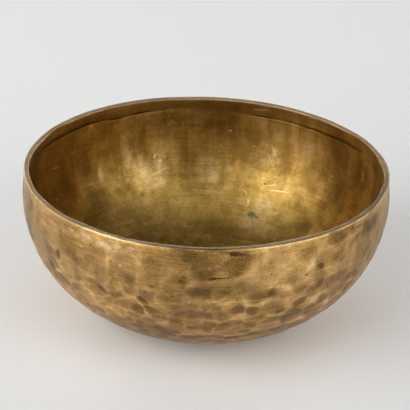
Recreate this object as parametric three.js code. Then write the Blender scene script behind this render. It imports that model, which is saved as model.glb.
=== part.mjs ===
// Hand-beaten bronze bowl, in millimetres, +Z up.
// One disc of bronze is raised with a hammer into a deep round wall. The wall leans in
// a little above its widest part and ends in a thick lip with a flat top. The origin is
// the centre of the flat base, on the surface that the bowl stands on.

import * as THREE from 'three';

// Outside sizes
const rimDiameter = 240; // over the lip
const height = 104; // from the standing surface to the top of the lip
const bellyDiameter = 242.5; // widest part of the wall
const bellyHeight = 88; // height of the widest part
const baseDiameter = 52; // flat that the bowl stands on

// Fullness of the outer curve: how far each end of its two arcs pulls along its own
// tangent, and how far the last stretch leans in
const basePull = 48;
const bellyPull = 53;
const shoulderPull = 5;
const rimPull = 6;
const rimLeanDegrees = 5;

// Thickness of the metal
const baseThickness = 2.6;
const wallThickness = 2;
const thinningLength = 60; // stretch over which the base thins to the wall

// Lip: a flat top with worn corners, and inside below it a thicker band that ends in a
// small ledge
const lipWidth = 3.6;
const lipCorner = 0.5;
const bandDrop = 8.5; // from the top of the lip to the foot of the band
const bandThickness = 3;
const ledgeDrop = 0.8; // stretch in which the band steps down to the wall
const ledgeThickness = 2.3; // wall right below the ledge
const taperDrop = 20; // stretch below the ledge that thins to the wall

// Hammer marks: shallow dishes in staggered rows, from the base to the foot of the band
const markWidth = 10.5; // least width of a mark along its row
const markRowPitch = 11.8;
const markDepth = 0.5;
const softestBlow = 0.4; // share of that depth that the lightest blow leaves
const smoothHeight = 58; // height above which the wall was hammered smoother
const smoothStretch = 30; // height over which the marks soften
const smoothShare = 0.3; // share of the mark depth that is left near the lip
const insideShare = 0.6; // share of a blow that shows as a bump inside

// Out of round: the wall swells in three soft lobes by this much at the rim
const lobeSwell = 0.55;
const lobeAngleDegrees = 4;

// Facets round the bowl. Every mark takes a whole number of them, so that its middle and
// its sides can fall on corners of the facets.
const facetsAround = 120;

const fullTurn = 2 * Math.PI;
const { clamp, degToRad, lerp, smoothstep } = THREE.MathUtils;

// Outer curve from the edge of the base to the top of the lip, as radius and height
function outerCurve() {
  const lean = degToRad(rimLeanDegrees);
  const baseEdge = new THREE.Vector2(baseDiameter / 2, 0);
  const belly = new THREE.Vector2(bellyDiameter / 2, bellyHeight);
  const rim = new THREE.Vector2(rimDiameter / 2, height);
  const curve = new THREE.CurvePath();
  curve.add(new THREE.CubicBezierCurve(
    baseEdge,
    new THREE.Vector2(baseEdge.x + basePull, baseEdge.y),
    new THREE.Vector2(belly.x, belly.y - bellyPull),
    belly,
  ));
  curve.add(new THREE.CubicBezierCurve(
    belly,
    new THREE.Vector2(belly.x, belly.y + shoulderPull),
    new THREE.Vector2(rim.x + rimPull * Math.sin(lean), rim.y - rimPull * Math.cos(lean)),
    rim,
  ));
  return curve;
}

// Arcs are lengths along the outer curve, counted from the edge of the base
const wall = outerCurve();
const wallLength = wall.getLength();
const bandFoot = wallLength - bandDrop;
const ledgeFoot = bandFoot - ledgeDrop;

// A place on the outer curve and the direction out of the metal there
function wallAt(arc) {
  const share = clamp(arc / wallLength, 0, 1);
  const tangent = wall.getTangent(share);
  return { point: wall.getPoint(share), normal: new THREE.Vector2(tangent.y, -tangent.x) };
}

// Thickness of the metal from the base up to the ledge
function thicknessAt(arc) {
  const lower = lerp(baseThickness, wallThickness, smoothstep(arc, 0, thinningLength));
  return lerp(lower, ledgeThickness, smoothstep(arc, ledgeFoot - taperDrop, ledgeFoot));
}

// The rows of marks share the wall below the band evenly
const rowCount = Math.max(1, Math.round(bandFoot / markRowPitch));
const rowPitch = bandFoot / rowCount;

// Marks in a row of this radius: as many as have at least the least width
function marksInRow(radius) {
  const facetWidth = fullTurn * radius / facetsAround;
  let facets = 2;
  while (facets < facetsAround && (facetsAround % facets !== 0 || facets * facetWidth < markWidth)) {
    facets += 1;
  }
  return facetsAround / facets;
}

// Force of one blow, the same in every build, between the lightest and the full one
function blowForce(row, mark) {
  const wave = Math.sin(row * 127.1 + mark * 311.7) * 43758.5453;
  return lerp(softestBlow, 1, wave - Math.floor(wave));
}

// Depth of the hammer marks at a place on the wall: a dish for each mark, deepest in its
// middle and nothing on the ridges round it
function markDepthAt(angle, arc, z) {
  const row = Math.min(rowCount - 1, Math.floor(arc / rowPitch));
  const marks = marksInRow(wallAt((row + 0.5) * rowPitch).point.x);
  const along = angle / fullTurn * marks - (row % 2) / 2;
  const mark = Math.round(along);
  const sideways = 2 * (along - mark);
  const upward = 2 * (arc / rowPitch - row) - 1;
  const dish = Math.max(0, 1 - sideways * sideways - upward * upward);
  const upper = smoothstep(z, smoothHeight, smoothHeight + smoothStretch);
  return markDepth * blowForce(row, (mark + marks) % marks) * dish * lerp(1, smoothShare, upper);
}

// The section of the metal, once round from the centre of the underside, up the outside,
// over the lip, down the inside and back to the axis. Each station keeps the arc at which
// the hammer marks are read and the share of them that it shows.
function section() {
  const stations = [];
  const still = new THREE.Vector2(0, 0);
  const plain = (x, y) => {
    stations.push({ point: new THREE.Vector2(x, y), normal: still, arc: 0, share: 0 });
  };
  const outside = (arc, share) => {
    stations.push({ ...wallAt(arc), arc, share });
  };
  const inside = (arc, thickness, share) => {
    const { point, normal } = wallAt(arc);
    stations.push({ point: point.addScaledVector(normal, -thickness), normal, arc, share });
  };

  // Underside and outer wall, with a ring in the middle of each row and between rows
  plain(0, 0);
  for (let half = 0; half <= 2 * rowCount; half += 1) {
    outside(half * rowPitch / 2, 1);
  }
  outside(wallLength - bandDrop / 2, 0);
  const corner = Math.min(lipCorner, lipWidth / 3);
  outside(wallLength - corner, 0);

  // Lip with a flat top between its two corners
  const rim = wallAt(wallLength).point;
  plain(rim.x - corner, rim.y);
  plain(rim.x - lipWidth + corner, rim.y);
  plain(rim.x - lipWidth, rim.y - corner);

  // Band, ledge, and the inner wall with a ring in the middle of each row
  inside(wallLength - bandDrop / 2, (lipWidth + bandThickness) / 2, 0);
  inside(bandFoot, bandThickness, 0);
  inside(ledgeFoot, thicknessAt(ledgeFoot), 0);
  for (let row = rowCount - 1; row >= 0; row -= 1) {
    const arc = (row + 0.5) * rowPitch;
    inside(arc, thicknessAt(arc), insideShare);
  }
  inside(0, baseThickness, 0);
  plain(0, baseThickness);
  return stations;
}

// Turn the section once round the axis, then push every point in by the hammer marks and
// out by the lobes, which grow from nothing at the base to their full swell at the rim
function beatenBowl() {
  const stations = section();
  const outline = stations.map((station) => station.point);
  const geometry = new THREE.LatheGeometry(outline, facetsAround);
  geometry.rotateX(Math.PI / 2);

  const position = geometry.attributes.position;
  const lobeAngle = degToRad(lobeAngleDegrees);
  for (let index = 0; index < position.count; index += 1) {
    const { point, normal, arc, share } = stations[index % stations.length];
    const step = Math.floor(index / stations.length) % facetsAround;
    const angle = step / facetsAround * fullTurn;
    const mark = share * markDepthAt(angle, arc, point.y);
    const rise = point.y / height;
    const lobe = point.x > 0 ? lobeSwell * rise * rise * Math.cos(3 * (angle - lobeAngle)) : 0;
    const radius = point.x - mark * normal.x + lobe;
    const z = point.y - mark * normal.y;
    position.setXYZ(index, radius * Math.cos(angle), radius * Math.sin(angle), z);
  }
  geometry.computeVertexNormals();
  return geometry;
}

const agedBronze = new THREE.MeshStandardMaterial({
  name: 'aged_bronze',
  color: 0xa8814a,
  metalness: 1,
  roughness: 0.38,
  flatShading: true, // each hammered flat catches the light by itself
});

const bowl = new THREE.Mesh(beatenBowl(), agedBronze);
bowl.name = 'bowl';

const object = new THREE.Group();
object.add(bowl);

export default object;
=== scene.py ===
# %% [markdown]
# A deep bowl of bronze, raised with a hammer from one disc of metal.
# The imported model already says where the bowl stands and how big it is, so the first
# step loads it and keeps its box. Everything made later is measured against that box.

# %% Load the frame
import math
import random

import bmesh
import bpy
import numpy as np
from mathutils import Matrix, Vector, kdtree, noise
from mathutils.geometry import interpolate_bezier


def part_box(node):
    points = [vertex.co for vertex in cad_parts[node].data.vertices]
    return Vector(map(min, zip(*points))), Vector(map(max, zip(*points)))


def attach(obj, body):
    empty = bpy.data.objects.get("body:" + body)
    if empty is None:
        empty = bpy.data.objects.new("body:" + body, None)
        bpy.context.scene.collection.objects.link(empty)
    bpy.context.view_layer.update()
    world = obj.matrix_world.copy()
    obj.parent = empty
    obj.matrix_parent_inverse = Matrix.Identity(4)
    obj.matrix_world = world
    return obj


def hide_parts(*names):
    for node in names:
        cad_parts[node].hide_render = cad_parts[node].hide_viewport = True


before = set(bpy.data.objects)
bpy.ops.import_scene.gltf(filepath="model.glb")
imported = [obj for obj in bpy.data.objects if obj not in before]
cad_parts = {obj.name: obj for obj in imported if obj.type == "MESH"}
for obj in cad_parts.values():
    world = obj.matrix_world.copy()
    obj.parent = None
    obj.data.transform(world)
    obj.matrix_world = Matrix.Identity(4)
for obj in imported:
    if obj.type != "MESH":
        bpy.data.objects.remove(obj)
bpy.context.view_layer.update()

low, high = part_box("bowl")
millimetre = 0.001
print("CAD box of the bowl in metres:", [round(v, 4) for v in (*low, *high)])

# %% [markdown]
# The camera looks down into the bowl from a little over a metre away. A long lens from
# that distance keeps the ellipse of the rim calm. The distance and the two angles are
# real sizes. The lens follows from them: the radius of the rim has to cover a known
# number of pixels in a picture 410 pixels wide. The camera also leans a little to one
# side, because in the picture the right side of the rim is lower than the left.

# %% Camera
picture_side = 410
rim_radius = 120 * millimetre
height = high.z - low.z
rim_radius_in_picture = 182.45
rim_centre_in_picture = Vector((205.84, 166.11))
camera_distance = 1.32
camera_pitch = math.radians(25.72)
camera_roll = math.radians(1.814)
sensor_width = 36.0


def camera_matrix():
    """Where the camera stands: in front of the bowl, looking down at the rim's centre."""
    ahead = Vector((0, math.cos(camera_pitch), -math.sin(camera_pitch)))
    level = Vector((1, 0, 0))
    above = level.cross(ahead)
    right = level * math.cos(camera_roll) + above * math.sin(camera_roll)
    up = above * math.cos(camera_roll) - level * math.sin(camera_roll)
    pixel = rim_radius / rim_radius_in_picture
    middle = Vector((picture_side - 1, picture_side - 1)) / 2
    aside = (rim_centre_in_picture - middle) * pixel
    place = Vector((0, 0, height)) - ahead * camera_distance - right * aside.x + up * aside.y
    return Matrix.Translation(place) @ Matrix((right, up, -ahead)).transposed().to_4x4()


camera = bpy.data.objects.new("camera", bpy.data.cameras.new("camera"))
camera.data.sensor_width = sensor_width
camera.data.lens = (
    sensor_width * rim_radius_in_picture / rim_radius * camera_distance / picture_side
)
camera.matrix_world = camera_matrix()
bpy.context.collection.objects.link(camera)
bpy.context.scene.camera = camera
print("camera lens in millimetres:", round(camera.data.lens, 1))

# %% [markdown]
# Every material below is a small graph of nodes. This class keeps the graphs short: each
# method makes one node, fills its inputs with numbers or with other nodes' outputs, and
# returns the output, so that a pattern can be written like a sum.

# %% Graph of nodes


class Graph:
    """A tree of shader nodes under construction."""

    def __init__(self, tree):
        self.tree = tree

    def node(self, kind, inputs=(), **settings):
        """One node with its own settings, and its inputs by name or by number."""
        made = self.tree.nodes.new("ShaderNode" + kind)
        for name, value in settings.items():
            setattr(made, name, value)
        for key, value in dict(inputs).items():
            self.feed(made.inputs[key], value)
        return made

    def feed(self, socket, value):
        """Give an input a plain value, or join it to another node's output."""
        if isinstance(value, bpy.types.NodeSocket):
            self.tree.links.new(value, socket)
        else:
            socket.default_value = value

    def calculate(self, operation, first, second=0.0, clamp=False):
        """The result of one sum."""
        inputs = {0: first, 1: second}
        return self.node("Math", inputs, operation=operation, use_clamp=clamp).outputs[0]

    def times(self, first, second):
        """The product of two values, or two masks together."""
        return self.calculate("MULTIPLY", first, second)

    def squared(self, value):
        """The value times itself."""
        return self.times(value, value)

    def plus(self, first, second, clamp=False):
        """The sum of two values."""
        return self.calculate("ADD", first, second, clamp)

    def weighed(self, base, *parts):
        """A base value and each mask times its own weight, all added."""
        total = base
        for mask, weight in parts:
            total = self.plus(self.times(mask, weight), total)
        return total

    def ranged(self, value, start, end, first=0.0, last=1.0):
        """Goes softly from first to last while the value goes from start to end."""
        names = ("Value", "From Min", "From Max", "To Min", "To Max")
        inputs = zip(names, (value, start, end, first, last))
        return self.node("MapRange", inputs, interpolation_type="SMOOTHSTEP").outputs["Result"]

    def noise_at(self, place, scale, detail=2.0, roughness=0.5, distortion=0.0):
        """Plain noise, around one half."""
        names = ("Vector", "Scale", "Detail", "Roughness", "Distortion")
        inputs = zip(names, (place, scale, detail, roughness, distortion))
        return self.node("TexNoise", inputs).outputs["Fac"]

    def vector(self, operation, *given):
        """The result of a sum of places. A length and a dot product are numbers."""
        made = self.node("VectorMath", enumerate(given), operation=operation)
        number = operation in ("LENGTH", "DOT_PRODUCT")
        return made.outputs["Value" if number else "Vector"]

    def parts(self, place):
        """The three numbers of a place, as outputs X, Y and Z."""
        return self.node("SeparateXYZ", {"Vector": place}).outputs

    def combined(self, x, y, z):
        """Three numbers as a place."""
        return self.node("CombineXYZ", enumerate((x, y, z))).outputs["Vector"]

    def over(self, colour, share, top):
        """The colour with another colour over it where the share is high."""
        inputs = {0: share, 6: colour, 7: top}
        return self.node("Mix", inputs, data_type="RGBA").outputs[2]


# %% [markdown]
# The bowl stands on a wide sheet of pale paper. Metal has no look of its own: it shows
# what is around it, so the room is part of the finish. Five soft boxes stand round the
# bowl: the brightest at the front left, a weaker one at the front right, a weak one high
# in front and two behind. The room is bright in a low band round the horizon and dim
# above it, which gives the hollow its two broad lights with a darker stretch between
# them. Far from the bowl the camera sees the paper fade into an even pale ground.

# %% Floor and light
paper_side = 9.0
paper_gap = 0.1 * millimetre
# Painted shade and light: the paper is darker and a little bluer near the camera and paler behind
# the bowl, which also cools the warm light that the bowl throws on it
paper_shaded_near_colour = (0.81, 0.83, 0.85, 1)
paper_lit_far_colour = (0.92, 0.92, 0.92, 1)
paper_near_edge = -0.35
paper_far_edge = 0.5
paper_roughness = 0.9
paper_gloss = 0.1
background_colour = (1.0, 0.995, 0.98, 1)
background_strength = 0.82
fade_start = 1.2
fade_end = 3.2
# The light of the room, by the direction that it comes from: how far up and how far back
low_band_strength = 9.0
low_band_top = 0.28
upper_strength = 0.12
camera_side = (-0.95, -0.45)
camera_side_share = 0.75
far_side = (0.1, 0.7)
far_side_share = 0.9


def make_paper():
    """A flat pale sheet under the base. Far from the bowl the camera sees it fade away."""
    mesh = bpy.data.meshes.new("paper")
    bm = bmesh.new()
    bmesh.ops.create_grid(bm, x_segments=1, y_segments=1, size=paper_side / 2)
    bmesh.ops.translate(bm, verts=bm.verts, vec=(0, 0, -paper_gap))
    bm.to_mesh(mesh)
    bm.free()
    paper = bpy.data.objects.new("paper", mesh)
    bpy.context.collection.objects.link(paper)
    material = bpy.data.materials.new("pale_paper")
    material.use_nodes = True
    g = Graph(material.node_tree)
    shader = g.tree.nodes["Principled BSDF"]
    shader.inputs["Roughness"].default_value = paper_roughness
    shader.inputs["Specular IOR Level"].default_value = paper_gloss
    place = g.node("TexCoord").outputs["Object"]
    # Painted shade in front of the bowl, painted light behind it
    share = g.ranged(g.parts(place)["Y"], paper_near_edge, paper_far_edge)
    g.feed(shader.inputs["Base Color"], g.over(paper_shaded_near_colour, share, paper_lit_far_colour))
    fade = g.ranged(g.vector("LENGTH", place), fade_start, fade_end)
    camera_ray = g.node("LightPath").outputs["Is Camera Ray"]
    emission = {"Color": background_colour, "Strength": background_strength}
    background = g.node("Emission", emission).outputs["Emission"]
    blend = g.node("MixShader", {
        0: g.times(fade, camera_ray), 1: shader.outputs["BSDF"], 2: background,
    })
    g.feed(g.tree.nodes["Material Output"].inputs["Surface"], blend.outputs["Shader"])
    mesh.materials.append(material)


def soft_box(name, azimuth, elevation, width, tall, brightness, distance=2.0):
    """A rectangular lamp that faces the bowl. Azimuth 0 is the camera's side, + is right."""
    data = bpy.data.lights.new(name, "AREA")
    data.shape = "RECTANGLE"
    data.size = width
    data.size_y = tall
    data.energy = brightness * math.pi * width * tall
    lamp = bpy.data.objects.new(name, data)
    turn = math.radians(azimuth)
    rise = math.radians(elevation)
    toward = Vector((
        math.sin(turn) * math.cos(rise), -math.cos(turn) * math.cos(rise), math.sin(rise)
    ))
    lamp.location = Vector((0, 0, height / 2)) + toward * distance
    lamp.rotation_euler = toward.to_track_quat("Z", "Y").to_euler()
    lamp.visible_camera = False
    bpy.context.collection.objects.link(lamp)


def make_room():
    """Light from all round: bright in a low band, dim above it and behind the camera."""
    world = bpy.data.worlds.new("studio")
    bpy.context.scene.world = world
    world.use_nodes = True
    g = Graph(world.node_tree)
    direction = g.parts(g.node("TexCoord").outputs["Generated"])
    brightness = g.ranged(direction["Z"], 0.0, low_band_top, low_band_strength, upper_strength)
    near_share = g.ranged(direction["Y"], *camera_side, camera_side_share, 1.0)
    far_share = g.ranged(direction["Y"], *far_side, 1.0, far_side_share)
    shaded = g.times(brightness, g.times(near_share, far_share))
    camera_ray = g.node("LightPath").outputs["Is Camera Ray"]
    background = g.tree.nodes["Background"].inputs
    background["Color"].default_value = background_colour
    g.feed(background["Strength"], g.ranged(camera_ray, 0.0, 1.0, shaded, background_strength))


make_paper()
soft_box("left_soft_box", -55, 28, 2.0, 1.5, 3.0)
soft_box("right_soft_box", 49, 31, 1.4, 1.1, 2.0)
soft_box("overhead_soft_box", 0, 62, 1.5, 1.2, 0.8)
soft_box("left_back_soft_box", -146, 23, 1.0, 1.1, 2.0)
soft_box("right_back_soft_box", 148, 27, 1.2, 1.1, 1.4)
make_room()
bpy.context.scene.view_settings.view_transform = "Standard"

# %% [markdown]
# The bowl is one piece of metal, so it is one mesh. Its section is drawn once, from the
# centre of the underside up the outside, over the lip and down the inside. The outer
# line is two cubic curves that meet at the widest part, and the inner line is the same
# curve moved in by the thickness of the metal. Distances up the wall are measured along
# the outer line from the edge of the base, and are called arcs here.

# %% Line of the wall
belly_radius = (high.x - low.x + high.y - low.y) / 4
belly_height = 88 * millimetre
base_radius = 26 * millimetre
base_pull = 48 * millimetre
belly_pull = 53 * millimetre
shoulder_pull = 5 * millimetre
rim_pull = 6 * millimetre
rim_lean = math.radians(5)


def outer_line(fineness=400):
    """Radius and height of points along the outside, from the edge of the base to the rim."""
    base = Vector((base_radius, 0, 0))
    belly = Vector((belly_radius, 0, belly_height))
    rim = Vector((rim_radius, 0, height))
    lean = Vector((math.sin(rim_lean), 0, -math.cos(rim_lean)))
    lower = interpolate_bezier(
        base, base + Vector((base_pull, 0, 0)), belly - Vector((0, 0, belly_pull)), belly, fineness
    )
    upper = interpolate_bezier(
        belly, belly + Vector((0, 0, shoulder_pull)), rim + lean * rim_pull, rim, fineness // 4
    )
    return np.array([(point.x, point.z) for point in lower + upper[1:]])


line = outer_line()
line_arc = np.concatenate(([0.0], np.cumsum(np.hypot(*np.diff(line, axis=0).T))))
wall_length = float(line_arc[-1])
print("length of the wall in millimetres:", round(wall_length / millimetre, 1))


def line_at(arc):
    """Radius and height on the outer line at this arc."""
    return np.interp(arc, line_arc, line[:, 0]), np.interp(arc, line_arc, line[:, 1])


def wall_at(arc):
    """Radius and height on the outer line, and the direction out of the metal there."""
    nudge = 0.2 * millimetre
    ahead_r, ahead_z = line_at(np.minimum(arc + nudge, wall_length))
    behind_r, behind_z = line_at(np.maximum(arc - nudge, 0.0))
    along_r = ahead_r - behind_r
    along_z = ahead_z - behind_z
    length = np.hypot(along_r, along_z)
    return *line_at(arc), along_z / length, -along_r / length


# %% [markdown]
# The metal is thickest at the base and thins up the wall. At the top it swells into the
# lip, and inside below the lip a band stands proud of the wall and ends in a small ledge
# with a crease under it, where the smith folded the edge of the disc tight.

# %% Thickness of the metal
base_thickness = 2.6 * millimetre
wall_thickness = 2.0 * millimetre
thinning_length = 60 * millimetre
lip_width = 3.6 * millimetre
lip_corner = 0.5 * millimetre
band_drop = 8.5 * millimetre
band_thickness = 3.0 * millimetre
ledge_drop = 1.4 * millimetre
ledge_thickness = 2.75 * millimetre
taper_drop = 24 * millimetre
band_foot = wall_length - band_drop
ledge_foot = band_foot - ledge_drop


def smooth_step(value, start, end):
    """0 before start, 1 after end and a soft rise between."""
    share = np.clip((value - start) / (end - start), 0, 1)
    return share * share * (3 - 2 * share)


def blended(first, last, share):
    """From the first value to the last."""
    return first + (last - first) * share


def thickness_at(arc):
    """Distance between the outer and the inner face at this arc."""
    lower = blended(base_thickness, wall_thickness, smooth_step(arc, 0, thinning_length))
    below = blended(lower, ledge_thickness, smooth_step(arc, ledge_foot - taper_drop, ledge_foot))
    band = blended(band_thickness, lip_width, (arc - band_foot) / band_drop)
    stepped = blended(below, band_thickness, smooth_step(arc, ledge_foot, band_foot))
    return np.where(arc > band_foot, band, stepped)


# %% [markdown]
# The section becomes a mesh: a chain of vertices that `spin` carries once round. Each
# vertex of the chain keeps two numbers, its arc and the face that it belongs to, and
# `spin` copies them to every column. The rings lie close together outside, where the
# hammer marks are sharp, closest at the crease, and wider apart inside.

# %% Spin the bowl
columns = 560
outer_ring_gap = 1.6 * millimetre
inner_ring_gap = 4.0 * millimetre
crease_ring_gap = 0.45 * millimetre
base_ring_gap = 3.7 * millimetre
OUTSIDE, LIP, INSIDE = 0, 1, 2


def spread(start, end, gap):
    """Even steps from start to end, about a gap apart."""
    return list(np.linspace(start, end, max(2, round(abs(end - start) / gap) + 1)))


def lip_stations():
    """Over the lip from outside to inside: two worn corners with a flat between them."""
    stations = []
    for degrees in (30, 60, 90):
        swing = math.radians(degrees)
        radius = rim_radius - lip_corner * (1 - math.cos(swing))
        stations.append((radius, height - lip_corner * (1 - math.sin(swing)), wall_length, LIP))
    for share in (0.33, 0.67):
        radius = rim_radius - lip_corner - (lip_width - 2 * lip_corner) * share
        stations.append((radius, height, wall_length, LIP))
    for degrees in (90, 60, 30, 0):
        swing = math.radians(degrees)
        radius = rim_radius - lip_width + lip_corner * (1 - math.cos(swing))
        stations.append((radius, height - lip_corner * (1 - math.sin(swing)), wall_length, LIP))
    return stations


def section():
    """Stations of the section as (radius, height, arc, face)."""
    underside = spread(0, base_radius, base_ring_gap)[:-1]
    stations = [(radius, 0.0, 0.0, OUTSIDE) for radius in underside]
    for arc in spread(0, wall_length - lip_corner, outer_ring_gap):
        radius, z, _, _ = wall_at(arc)
        stations.append((radius, z, arc, OUTSIDE))
    stations += lip_stations()
    crease_top = band_foot + 2 * crease_ring_gap
    crease_bottom = ledge_foot - 5 * crease_ring_gap
    arcs = spread(wall_length - 2 * lip_corner, crease_top, 3 * crease_ring_gap)
    arcs += spread(crease_top, crease_bottom, crease_ring_gap)[1:]
    arcs += spread(crease_bottom, 0, inner_ring_gap)[1:]
    for arc in arcs:
        radius, z, out_r, out_z = wall_at(arc)
        thickness = float(thickness_at(arc))
        stations.append((radius - out_r * thickness, z - out_z * thickness, arc, INSIDE))
    for radius in spread(base_radius, 0, base_ring_gap)[1:]:
        stations.append((radius, base_thickness, 0.0, INSIDE))
    return stations


def spun_bowl():
    """The smooth bowl, before any hammering."""
    bm = bmesh.new()
    arc_layer = bm.verts.layers.float.new("arc")
    face_layer = bm.verts.layers.int.new("face")
    chain = []
    for radius, z, arc, face in section():
        vertex = bm.verts.new((radius, 0, z))
        vertex[arc_layer] = arc
        vertex[face_layer] = face
        chain.append(vertex)
    edges = [bm.edges.new(pair) for pair in zip(chain, chain[1:])]
    bmesh.ops.spin(
        bm, geom=chain + edges, cent=(0, 0, 0), axis=(0, 0, 1), angle=math.tau,
        steps=columns, use_merge=True,
    )
    bmesh.ops.remove_doubles(bm, verts=bm.verts, dist=0.01 * millimetre)
    bmesh.ops.recalc_face_normals(bm, faces=bm.faces)
    for polygon in bm.faces:
        sides = {vertex[face_layer] for vertex in polygon.verts}
        polygon.material_index = LIP if LIP in sides else max(sides)
        polygon.smooth = True
    mesh = bpy.data.meshes.new("hammered_bowl")
    bm.to_mesh(mesh)
    bm.free()
    return mesh


bowl_mesh = spun_bowl()
print("faces of the spun bowl:", len(bowl_mesh.polygons))


def read_attribute(name, kind):
    """A number of every vertex, as an array."""
    values = np.zeros(len(bowl_mesh.vertices), kind)
    bowl_mesh.attributes[name].data.foreach_get("value", values)
    return values


vertex_arc = read_attribute("arc", np.float32).astype(float)
vertex_face = read_attribute("face", np.int32)
place = np.zeros(3 * len(bowl_mesh.vertices), np.float32)
bowl_mesh.vertices.foreach_get("co", place)
place = place.reshape(-1, 3).astype(float)
vertex_angle = np.arctan2(place[:, 0], -place[:, 1])
vertex_radius = np.hypot(place[:, 0], place[:, 1])
outer_radius, outer_height, out_r, out_z = wall_at(vertex_arc)
print("vertices:", len(place))

# %% [markdown]
# Every hammer blow leaves a shallow dish. The smith works round the bowl in rows, each
# blow lapping the last, and no two fall quite alike. So blows are placed in staggered
# rows with some scatter: small and deep low down, wide and shallow near the rim, where
# the wall was hammered smooth. A few strong blows that show clearly in the picture are
# listed, at their turn from the front and their height above the table.

# %% Hammer blows
dice = random.Random(12)
row_gap = 7.6 * millimetre
blow_gap = 10 * millimetre
blow_reach = 7.2 * millimetre
blow_depth = 0.5 * millimetre
smooth_height = 62 * millimetre
smooth_stretch = 26 * millimetre
smooth_share = 0.4
smooth_reach = 1.5
first_row = 6 * millimetre
last_row = wall_length - 5 * millimetre
# Shares of the gaps, of the reach and of the depth by which the blows differ
turn_scatter = 0.34
rise_scatter = 0.4
across_shares = (0.9, 1.5)
up_shares = (0.6, 0.95)
depth_shares = (0.3, 1.0)
most_lean = 0.5
fewest_blows = 5

strong_blows = (
    # turn in degrees, height, across, up, lean in degrees, depth
    (10.6, 59, 7.5, 5, 0, 0.62), (16.2, 59, 6, 5, 0, 0.6), (25.4, 56, 5, 5, 0, 0.62),
    (31.6, 58, 5.5, 5, 20, 0.6), (41.4, 54, 5.5, 6.5, 30, 0.55), (21.6, 70, 7.5, 3.8, 0, 0.5),
    (29, 44, 6.5, 4.5, 10, 0.5), (12, 48, 7, 4, 0, 0.52), (21, 33, 9, 3.5, 0, 0.5),
    (4.8, 61, 6, 5.5, 0, 0.5), (5.6, 75, 6.5, 6, 0, 0.42), (-18.4, 63, 6.5, 3.8, -35, 0.7),
    (-20.8, 55, 6.5, 4, -30, 0.62), (-32.8, 64, 5.5, 4.6, -10, 0.62), (-13.2, 50, 6.5, 4.5, 0, 0.5),
    (-6.8, 54, 6, 5, 0, 0.52), (-2.6, 42, 7, 4.5, 0, 0.5), (-49.6, 77, 4.5, 4.5, 0, 0.45),
    (-22.2, 77, 9, 8, 0, 0.34), (37.6, 83, 4.5, 4.5, 0, 0.42), (32.2, 93, 9, 6, 0, 0.26),
    (-55.6, 62, 5, 6.5, 25, 0.55), (0.8, 74, 7.5, 6, 0, 0.4), (38.2, 71, 6, 6, 0, 0.45),
)


def half_round(turn):
    """The same turn, between minus and plus half a round."""
    return (turn + math.pi) % math.tau - math.pi


def either_way(most):
    """A random number between minus this and plus this."""
    return dice.uniform(-most, most)


def radius_at(arc):
    """Radius of the outer line at this arc."""
    return float(line_at(arc)[0])


def arc_at_height(z):
    """The arc at which the wall reaches this height."""
    return float(np.interp(z, line[:, 1], line_arc))


def scattered_blows():
    """Blows in staggered rows as (angle, arc, across, up, lean, depth)."""
    made = []
    rows = round((last_row - first_row) / row_gap)
    for row in range(rows + 1):
        row_arc = first_row + (last_row - first_row) * row / rows
        row_height = line_at(row_arc)[1]
        upper = float(smooth_step(row_height, smooth_height, smooth_height + smooth_stretch))
        reach = blow_reach * blended(1, smooth_reach, upper)
        count = round(math.tau * radius_at(row_arc) / blow_gap * blow_reach / reach)
        count = max(fewest_blows, count)
        for step in range(count):
            angle = (step + (row % 2) / 2 + either_way(turn_scatter)) / count * math.tau
            arc = row_arc + either_way(rise_scatter) * row_gap
            across = reach * dice.uniform(*across_shares)
            up = reach * dice.uniform(*up_shares)
            depth = blow_depth * dice.uniform(*depth_shares) * blended(1, smooth_share, upper)
            made.append((angle, arc, across, up, either_way(most_lean), depth))
    return made


def placed_blows():
    """The strong blows in metres and radians."""
    return [
        (math.radians(turn), arc_at_height(z * millimetre), across * millimetre,
         up * millimetre, math.radians(lean), depth * millimetre)
        for turn, z, across, up, lean, depth in strong_blows
    ]


def apart(first, second, gap):
    """Whether two blows are at least this far from each other."""
    turn = half_round(first[0] - second[0])
    return math.hypot(turn * radius_at(first[1]), first[1] - second[1]) >= gap


strong = placed_blows()
strong_room = 6.5 * millimetre
blows = [
    blow for blow in scattered_blows()
    if all(apart(blow, other, strong_room) for other in strong)
]
blows += strong
print("hammer blows:", len(blows))

# %% [markdown]
# A blow pushes in the vertices around it. Where two dishes lap, the deeper one wins, and
# a high power of both, added and rooted again, rounds the ridge between them a little.
# How near the second dish comes to the first is kept too, as a number for the ridges.
# The list of vertices near a blow comes from a k-d tree, which is much quicker than
# measuring the distance to every vertex.

# %% Strike the wall
ridge_sharpness = 5
ridge_width = 0.75
dish_squareness = 2.4
dish_fullness = 0.85
base_fade = 8 * millimetre
rim_fade = 7 * millimetre
ground = np.column_stack((
    outer_radius * np.sin(vertex_angle), -outer_radius * np.cos(vertex_angle), outer_height
))
struck = np.flatnonzero(vertex_arc > 0)
near_tree = kdtree.KDTree(len(struck))
for index in struck:
    near_tree.insert(ground[index], int(index))
near_tree.balance()


def ragged(offset, size, amount):
    """A smooth random number for every vertex, to pull straight edges out of line."""
    values = [noise.noise(Vector(point) / size + offset) for point in ground]
    return np.array(values) * amount


ragged_size = 9 * millimetre
ragged_amount = 3.2 * millimetre
ragged_side = ragged(Vector((3, 1, 2)), ragged_size, ragged_amount)
ragged_rise = ragged(Vector((7, 5, 9)), ragged_size, ragged_amount)


def on_wall(angle, arc):
    """A place on the outer line, turned round the axis."""
    radius, z = (float(v) for v in line_at(arc))
    return Vector((radius * math.sin(angle), -radius * math.cos(angle), z))


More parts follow.
